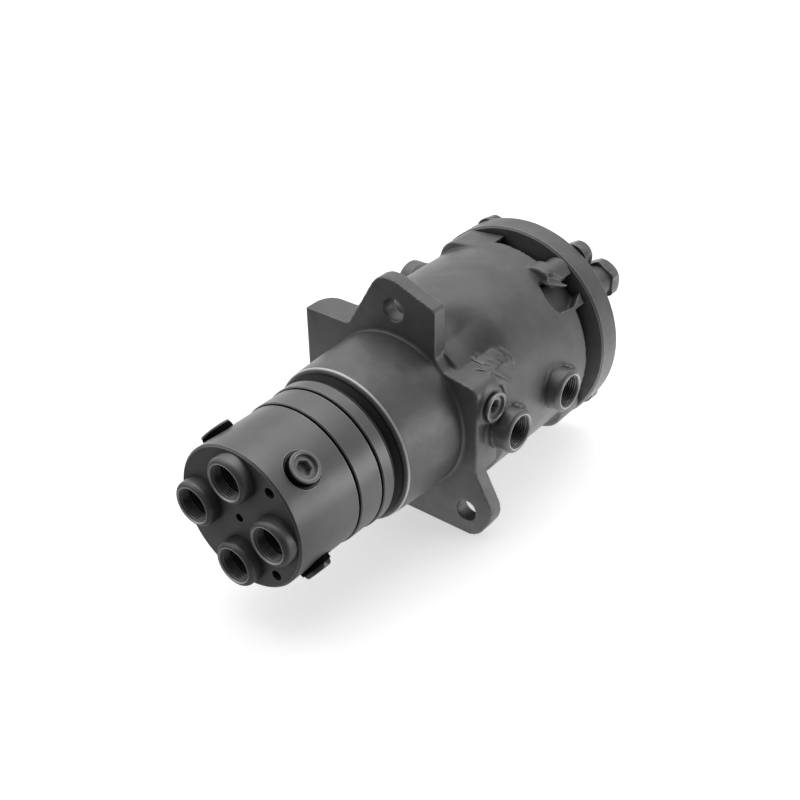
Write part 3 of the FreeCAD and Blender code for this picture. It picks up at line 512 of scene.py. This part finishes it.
def washer_rows(outer, seat):
    """A rubber-faced washer that bulges a little under the plug."""
    inner = 0.0098
    rows = [(-seat, plain(inner)), (-seat, plain(outer - 0.0006)), (-seat / 2, plain(outer))]
    rows += [(PLUG_LIFT - 0.0004, plain(outer - 0.0002)), (PLUG_LIFT - 0.0001, plain(outer - 0.0008))]
    return rows + [(PLUG_LIFT - 0.0001, plain(inner))]


HEAD_RADIUS, PLUG_STATION, PLUG_TURN = 0.0550, -0.141, 48.5
GALLERY_PLUG_SEAT = (0.0785, 0.0145, 0.0255)
head_seats = []
for quarter in range(4):
    turn = math.radians(PLUG_TURN + 90 * quarter)
    out = Vector((math.cos(turn), 0, math.sin(turn)))
    head_seats.append((out * HEAD_RADIUS + Vector((0, PLUG_STATION, 0)), out))
# The plugs' lighter finish stands in for the light on their faces.
spun("head_socket_plugs", plug_rows(0.0047, 0.0024, SOCKET_DEPTH, SHANK_LENGTH), head_seats[:3],
     "spindle", "head_plugs", finishes["plug_painted_lighter"])
# The washers carry the painted shade under the plug flanges.
spun("head_washers", washer_rows(0.0120, 0.0022), head_seats,
     "spindle", "head_plug_washers", finishes["shade_washer_rubber"])
# The plug's lighter finish stands in for the light on its face.
spun("shoulder_socket_plug", plug_rows(0.0044, 0.0022, SOCKET_DEPTH, SHANK_LENGTH),
     [(GALLERY_PLUG_SEAT, (1, 0, 0))], "housing", "gallery_plug", finishes["plug_painted_lighter"])


# %% Bolt heads and the drain plug
CORNER_SHARE, CORNER_FALL, CORNER_STEPS = 0.56, 0.0030, 8


def head_rows(flats, top, height, shank, length):
    """A hexagon head: its corners fall away from the round top along a curve."""
    corner = flats * CORNER_SHARE
    rows = [(-length, plain(TIP)), (-length, plain(shank)), (0.0, plain(shank))]
    rows += [(0.0, six_sided(flats, top + 0.0010)), (0.0006, six_sided(flats, corner))]
    for level in range(CORNER_STEPS, -1, -1):
        fall = level / CORNER_STEPS
        reach = top + (corner - top) * fall ** 0.5
        rows.append((height - CORNER_FALL * fall, six_sided(flats, reach)))
    return rows + [(height, plain(TIP))]


hardware = finishes["dark_hardware"]
spun("head_hexagon_plug", head_rows(0.0190, 0.0090, 0.0062, PLUG_SHANK, SHANK_LENGTH), head_seats[3:],
     "spindle", "head_plugs", hardware)
COVER_BACK, WASHER, BOLT_CIRCLE, BOLT_SHANK, BOLT_LENGTH = 0.1794, 0.0035, 0.0775, 0.0070, 0.0469
bolt_seats = []
for degrees in (58, 122, -43, -137):
    turn = math.radians(degrees)
    bolt_seats.append(((BOLT_CIRCLE * math.cos(turn), COVER_BACK + WASHER, BOLT_CIRCLE * math.sin(turn)),
                       (0, 1, 0)))
spun("cover_bolts", head_rows(0.022, 0.0103, 0.0090, BOLT_SHANK, BOLT_LENGTH), bolt_seats,
     "housing", "cover_bolts", hardware)
DRAIN_CIRCLE, DRAIN_SEAT, DRAIN_TURN = 0.0728, 0.1919, math.radians(38.5)
drain_seat = (DRAIN_CIRCLE * math.cos(DRAIN_TURN), DRAIN_SEAT, DRAIN_CIRCLE * math.sin(DRAIN_TURN))
spun("drain_plug", head_rows(0.030, 0.0138, 0.0115, PLUG_SHANK, SHANK_LENGTH), [(drain_seat, (0, 1, 0))],
     "housing", "drain_plug", hardware)

# %% [markdown]
# ## The cast skin
#
# A sand casting has no sharp inner or outer corners. Small lumps and folds from the mould are set
# into a copy of the housing, the copy is rebuilt as an even skin of small faces, and the skin is
# lightly relaxed. That leaves rounded corners and small fillets where the ears, lugs and pads run
# into the barrel, and the flat faces where they were. Sculpting by hand would look as good, but
# it could not follow the solid when a size changes.

# %% Lumps and folds that the mould left
BARREL = 0.0805


def add_lump(work, centre, *axes):
    """A small closed lump with three half axes, which the skin then joins to the casting."""
    made = bmesh.ops.create_icosphere(work, subdivisions=3, radius=1.0)
    for point in made["verts"]:
        point.co = Vector(centre) + sum((axis * part for axis, part in zip(axes, point.co)), Vector())


def round_axis(degrees):
    """Outward, tangential and lengthwise directions at an angle round the axis."""
    turn = math.radians(degrees)
    return (Vector((math.cos(turn), 0, math.sin(turn))), Vector((-math.sin(turn), 0, math.cos(turn))),
            Vector((0, 1, 0)))


def collar_lumps(work):
    """Rough lumps where the mould met the side collars."""
    ring = 0.0172
    for seat in right_seats:
        for step, size in ((0.40, 0.0034), (0.78, 0.0040), (1.10, 0.0030)):
            centre = (seat.x + 0.0035, seat.y + ring * math.sin(step), ring * math.cos(step))
            add_lump(work, centre, Vector((size * 1.3, 0, 0)), Vector((0, size, 0)),
                     Vector((0, 0, size * 0.8)))


def folds(work):
    """Short folds in the cast skin behind the flange's right shoulder, and one long one below them."""
    for step in range(8):
        out, side, along = round_axis(41.0 - 0.9 * step)
        swing = math.radians(14 * math.sin(2.4 * step) - 8)
        run = side * math.cos(swing) + along * math.sin(swing)
        over = along * math.cos(swing) - side * math.sin(swing)
        add_lump(work, out * BARREL + along * (0.0290 + 0.0033 * step), run * (0.0066 + 0.0014 * (step % 3)),
                 over * 0.0015, out * 0.0012)
    out, side, along = round_axis(31)
    add_lump(work, out * (BARREL - 0.0002) + along * 0.031, (along - side).normalized() * 0.017,
             (along + side).normalized() * 0.0014, out * 0.0018)


def ridge(work):
    """The upper right lug's flank ends in a ridge that slants down over the hollow."""
    for start, end, wide, tall in (((58.5, 0.1290), (50.5, 0.1500), 0.0030, 0.0034),
                                   ((55.5, 0.1275), (46.5, 0.1480), 0.0020, 0.0024)):
        ends = []
        for degrees, station in (start, end):
            out, side, along = round_axis(degrees)
            ends.append(out * (BARREL - 0.0004) + along * station)
        run = (ends[1] - ends[0]) / 2
        middle = (ends[0] + ends[1]) / 2
        out = Vector((middle.x, 0, middle.z)).normalized()
        over = run.cross(out).normalized()
        add_lump(work, middle + out * 0.0012, run * 1.05, over * wide, out * tall)


print("lumps, folds and a ridge are ready")

# %% [markdown]
# ## The shelf and the root of the upper ear
#
# Behind the flange's right shoulder the casting goes on as a flat shelf and then runs out gently
# into the barrel. Behind the upper ear it swells out to the barrel's full radius at once. Both are
# radii that depend on the angle and on the place along the axis. What lies inside them is filled
# before the skin is made, and what stands out past the shelf is brought down to it afterwards.

# %% The radius of the shelf and the fill under it
SHELF_HEIGHT, SHELF_SLOPE, SHELF_BACK, SHELF_RUN, SHELF_LEAST = 0.0554, 0.171, 0.0265, 0.034, 0.0690
# Between these angles the shelf gives way to the swell behind the ear.
FADE_START, FADE_END = 60, 78


def smooth_share(value, low, high):
    share = min(1.0, max(0.0, (value - low) / (high - low)))
    return share * share * (3 - 2 * share)


def shelf(degrees, station):
    """The shoulder's flat top goes on behind the flange and then runs out into the barrel."""
    turn = math.radians(degrees)
    flat = max(SHELF_LEAST, SHELF_HEIGHT / (math.sin(turn) + SHELF_SLOPE * math.cos(turn)))
    rise = smooth_share(station, SHELF_BACK, SHELF_BACK + SHELF_RUN)
    return flat + (BARREL - flat) * rise


def root_fill(work):
    """The barrel swells out behind the upper ear; behind the right shoulder it meets the shelf."""
    inside, start, swell_run, root = 0.058, 0.010, 0.016, 0.068
    stations = [start + 0.0013 * step for step in range(21)]
    rings = []
    for degrees in range(24, 201, 2):
        out, side, along = round_axis(degrees)
        share = smooth_share(degrees, FADE_START, FADE_END)
        ring = [work.verts.new(out * inside + along * stations[0])]
        for station in stations:
            swell = math.sin(math.pi / 2 * min(1.0, (station - start) / swell_run))
            full = root + (BARREL - root) * swell
            low = min(shelf(degrees, station), BARREL - 0.0004)
            ring.append(work.verts.new(out * (low + (full - low) * share) + along * station))
        ring.append(work.verts.new(out * inside + along * stations[-1]))
        rings.append(ring)
    total = len(rings[0])
    for first, second in zip(rings, rings[1:]):
        for step in range(total):
            after = (step + 1) % total
            work.faces.new((first[step], first[after], second[after], second[step]))
    work.faces.new(rings[0][::-1])
    work.faces.new(rings[-1])


def relieve(mesh):
    """The casting's skin above the shelf comes down to it, with the folds that lie on it."""
    for point in mesh.vertices:
        x, station, z = point.co
        degrees = math.degrees(math.atan2(z, x))
        if not (0.0135 < station < 0.062 and 31 < degrees < FADE_END):
            continue
        radius = math.hypot(x, z)
        limit = shelf(degrees, station)
        limit += (BARREL - limit) * smooth_share(degrees, FADE_START, FADE_END)
        if radius > limit:
            scale = (limit + max(0.0, radius - BARREL)) / radius
            point.co = (x * scale, station, z * scale)


print("the shelf's radius at 45 degrees, just behind the flange:", round(shelf(45, 0.014), 4))

# %% [markdown]
# ## The hollow under the upper right lug
#
# The photograph shows a dark hollow between the barrel and the lug, with a curved front edge. A
# prism over that edge is cut out of the housing's copy first, while the copy is still a clean
# closed solid. Cutting it out of the finished skin would leave a hard, unworn edge.

# %% The prism that cuts the hollow
HOLLOW_TURN, HOLLOW_FLOOR, HOLLOW_TOP = 44, 0.0712, 0.1000
# Its corners, each a place along the axis and a step to the side of its middle line.
HOLLOW = [(0.1255, -0.0105), (0.1215, -0.0055), (0.1200, 0.0), (0.1205, 0.0070), (0.1235, 0.0150),
          (0.1262, 0.0190), (0.1310, 0.0160), (0.1325, 0.0102), (0.1590, 0.0100), (0.1590, -0.0050),
          (0.1450, -0.0125)]


def hollow_cutter(spin, inner, outer, corners):
    """A prism over corners of station and side step, square to the radius at an angle."""
    out, side, along = round_axis(spin)
    points = [out * reach + side * step + along * station
              for reach in (inner, outer) for station, step in corners]
    total = len(corners)
    faces = [tuple(range(total)), tuple(range(2 * total - 1, total - 1, -1))]
    faces += [(step, step + total, (step + 1) % total + total, (step + 1) % total) for step in range(total)]
    mesh = bpy.data.meshes.new("hollow")
    mesh.from_pydata([tuple(point) for point in points], [], faces)
    item = bpy.data.objects.new("hollow", mesh)
    bpy.context.scene.collection.objects.link(item)
    work = bmesh.new()
    work.from_mesh(mesh)
    bmesh.ops.recalc_face_normals(work, faces=work.faces)
    work.to_mesh(mesh)
    work.free()
    return item


print("the hollow has", len(HOLLOW), "corners")

# %% [markdown]
# ## Rebuilding the skin
#
# The voxel remesh joins lumps, fill and casting into one closed skin. Its faces are a little over
# a millimetre wide, fine enough for the folds. Three rounds of smoothing take the steps out, and
# the decimation drops faces where the skin is plain.

# %% Rebuild and relax the housing
def modified(item, settings):
    """The object's mesh after its modifiers, given as (kind, values) in their order."""
    for kind, values in settings:
        step = item.modifiers.new(kind, kind)
        for name, value in values.items():
            setattr(step, name, value)
    view = bpy.context.evaluated_depsgraph_get()
    mesh = bpy.data.meshes.new_from_object(item.evaluated_get(view))
    item.modifiers.clear()
    item.data = mesh
    return mesh


def cast_skin(source, voxel, passes, share):
    """The housing's stand-in: hollow, lumps and fill, then remesh, relief, smoothing and decimation."""
    item = bpy.data.objects.new("cast_housing", source.data.copy())
    bpy.context.scene.collection.objects.link(item)
    cutter = hollow_cutter(HOLLOW_TURN, HOLLOW_FLOOR, HOLLOW_TOP, HOLLOW)
    modified(item, [("BOOLEAN", {"object": cutter, "operation": "DIFFERENCE", "solver": "EXACT"})])
    bpy.data.objects.remove(cutter)
    work = bmesh.new()
    work.from_mesh(item.data)
    collar_lumps(work)
    folds(work)
    root_fill(work)
    ridge(work)
    bmesh.ops.recalc_face_normals(work, faces=work.faces)
    work.to_mesh(item.data)
    work.free()
    skin = {"mode": "VOXEL", "voxel_size": voxel, "use_smooth_shade": True}
    relieve(modified(item, [("REMESH", skin)]))
    even = {"factor": 0.5, "iterations": passes}
    mesh = modified(item, [("SMOOTH", even), ("DECIMATE", {"ratio": share})])
    mesh.validate()
    mesh.materials.clear()
    mesh.materials.append(finishes["cast_body"])
    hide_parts("housing")
    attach(item, "housing")
    print("cast skin:", len(mesh.polygons), "faces")


cast_skin(nodes["housing"], voxel=0.0011, passes=3, share=0.45)

# %% [markdown]
# ## Floor
#
# The photograph is a plain catalogue view: soft light mostly from above, a white ground and only a
# faint shadow. Faces that look to the front are dark in it, and faces that look up or back are
# lit. So the floor is white for the camera and keeps the object's shadow, but what the metal sees
# of it goes from dark in front of the object to bright behind it, and falls off to the right.

# %% Floor
def behind(tree, place, front, back, low, high):
    """A value that goes from low in front of the object (-Y) to high behind it."""
    parts = tree.nodes.new("ShaderNodeSeparateXYZ")
    tree.links.new(place, parts.inputs[0])
    level = tree.nodes.new("ShaderNodeMapRange")
    level.interpolation_type = "SMOOTHSTEP"
    for name, number in (("From Min", front), ("From Max", back), ("To Min", low), ("To Max", high)):
        level.inputs[name].default_value = number
    tree.links.new(parts.outputs["Y"], level.inputs["Value"])
    return level.outputs["Result"]


def beside(tree, place, near, far, value):
    """The value falls off to the right of the object (+X)."""
    parts = tree.nodes.new("ShaderNodeSeparateXYZ")
    tree.links.new(place, parts.inputs[0])
    level = tree.nodes.new("ShaderNodeMapRange")
    for name, number in (("From Min", near), ("From Max", far), ("To Min", 1.0), ("To Max", 0.35)):
        level.inputs[name].default_value = number
    tree.links.new(parts.outputs["X"], level.inputs["Value"])
    item = tree.nodes.new("ShaderNodeMath")
    item.operation = "MULTIPLY"
    tree.links.new(value, item.inputs[0])
    tree.links.new(level.outputs["Result"], item.inputs[1])
    return item.outputs[0]


def pale_floor(height):
    mesh = bpy.data.meshes.new("floor")
    half = 6.0
    corners = [(-half, -half, 0), (half, -half, 0), (half, half, 0), (-half, half, 0)]
    mesh.from_pydata(corners, [], [(0, 1, 2, 3)])
    floor = bpy.data.objects.new("floor", mesh)
    floor.location.z = height
    bpy.context.scene.collection.objects.link(floor)
    paint, tree, shader, place = new_finish("pale floor", metallic=0.0, specular=0.05)
    shade = ramp(tree, noise(tree, place, 3.0), [(0.3, (0.90, 0.90, 0.90)), (0.7, (0.93, 0.93, 0.93))])
    paths = tree.nodes.new("ShaderNodeLightPath")
    pick = tree.nodes.new("ShaderNodeMix")
    tree.links.new(paths.outputs["Is Camera Ray"], pick.inputs[0])
    seen = behind(tree, place, front=-0.35, back=0.25, low=0.25, high=0.85)
    tree.links.new(beside(tree, place, near=0.15, far=0.36, value=seen), pick.inputs[VALUE_A])
    pick.inputs[VALUE_B].default_value = 1.0
    glow = tree.nodes.new("ShaderNodeMix")
    tree.links.new(paths.outputs["Is Camera Ray"], glow.inputs[0])
    lit = behind(tree, place, front=-0.30, back=0.10, low=0.02, high=0.85)
    tree.links.new(beside(tree, place, near=0.15, far=0.36, value=lit), glow.inputs[VALUE_A])
    glow.inputs[VALUE_B].default_value = 0.55
    level = tree.nodes.new("ShaderNodeVectorMath")
    level.operation = "SCALE"
    tree.links.new(shade, level.inputs[0])
    tree.links.new(pick.outputs[0], level.inputs["Scale"])
    tree.links.new(level.outputs[0], shader.inputs["Base Color"])
    shader.inputs["Roughness"].default_value = 0.9
    shader.inputs["Emission Color"].default_value = (1, 1, 1, 1)
    tree.links.new(glow.outputs[0], shader.inputs["Emission Strength"])
    mesh.materials.append(paint)
    return floor


CLEARANCE = 0.0003
floor = pale_floor(solid_box[0][2] - CLEARANCE)
print("floor at", floor.location.z)

# %% [markdown]
# ## World
#
# The background is white for the camera. For the metal it is dark in front of the object and bright
# behind it, as between two studio walls, and it falls off to the right like the floor.

# %% World: plain white for the camera, bright behind the object and dark in front for the metal
world = bpy.data.worlds.new("studio")
bpy.context.scene.world = world
world.use_nodes = True
tree = world.node_tree
place = tree.nodes.new("ShaderNodeTexCoord")
paths = tree.nodes.new("ShaderNodeLightPath")
pick = tree.nodes.new("ShaderNodeMix")
tree.links.new(paths.outputs["Is Camera Ray"], pick.inputs[0])
way = place.outputs["Generated"]
sky = behind(tree, way, front=-0.60, back=0.70, low=0.15, high=1.05)
tree.links.new(beside(tree, way, near=0.05, far=0.65, value=sky), pick.inputs[VALUE_A])
pick.inputs[VALUE_B].default_value = 1.0
tree.nodes["Background"].inputs["Color"].default_value = (1, 1, 1, 1)
tree.links.new(pick.outputs[0], tree.nodes["Background"].inputs["Strength"])
print("world:", len(tree.nodes), "nodes")

# %% [markdown]
# ## Lamps
#
# A wide sun overhead gives the broad light along the barrel and the head, with no hard shadow. A
# second one from the upper left front lifts the ported face, and a lit card stands low at the right
# for the lower sides.

# %% Lamps
def soft_sun(name, toward, strength, width):
    """Even light from one side of the studio: a wide sun gives soft shadows at every distance."""
    data = bpy.data.lights.new(name, "SUN")
    data.energy = strength
    data.angle = math.radians(width)
    lamp = bpy.data.objects.new(name, data)
    lamp.rotation_euler = Vector(toward).to_track_quat("Z", "Y").to_euler()
    bpy.context.scene.collection.objects.link(lamp)
    print(name, data.energy, "W/m2")


def low_card(name, place, size, power):
    """A lit card that stands low beside the object and that the camera doesn't see."""
    data = bpy.data.lights.new(name, "AREA")
    data.shape = "RECTANGLE"
    data.size, data.size_y = size
    data.energy = power
    lamp = bpy.data.objects.new(name, data)
    lamp.location = place
    lamp.rotation_euler = Vector(place).to_track_quat("Z", "Y").to_euler()
    lamp.visible_camera = False
    bpy.context.scene.collection.objects.link(lamp)
    print(name, data.energy, "W")


soft_sun("overhead", (-0.25, 0.15, 1.0), 0.75, 60)
soft_sun("upper left front", (-0.9, -0.55, 0.7), 0.50, 60)
low_card("right card", (0.55, 0.30, -0.06), (0.25, 0.5), 1.3)

# %% [markdown]
# ## The camera
#
# The view was worked out from the photograph's circles: the ported face, the rings and the
# cover's rim are all circles on one axis, so their ellipses fix the direction and the distance.

# %% Camera
def aim_camera(place, view, roll, focal):
    data = bpy.data.cameras.new("catalogue view")
    data.sensor_width = 36.0
    data.lens = focal
    data.clip_end = 20.0
    camera = bpy.data.objects.new("catalogue view", data)
    camera.location = place
    turn = Vector(view).to_track_quat("-Z", "Y").to_matrix().to_4x4()
    lean = Matrix.Rotation(roll, 4, "Z")
    camera.rotation_euler = (turn @ lean).to_euler()
    bpy.context.scene.collection.objects.link(camera)
    bpy.context.scene.camera = camera
    return camera


camera = aim_camera(place=(0.4976, -0.6117, 0.5197), view=(-0.526, 0.653, -0.545),
                    roll=math.radians(-1.0), focal=56.25)
bpy.context.scene.view_settings.view_transform = "Standard"
print("camera at", tuple(camera.location))
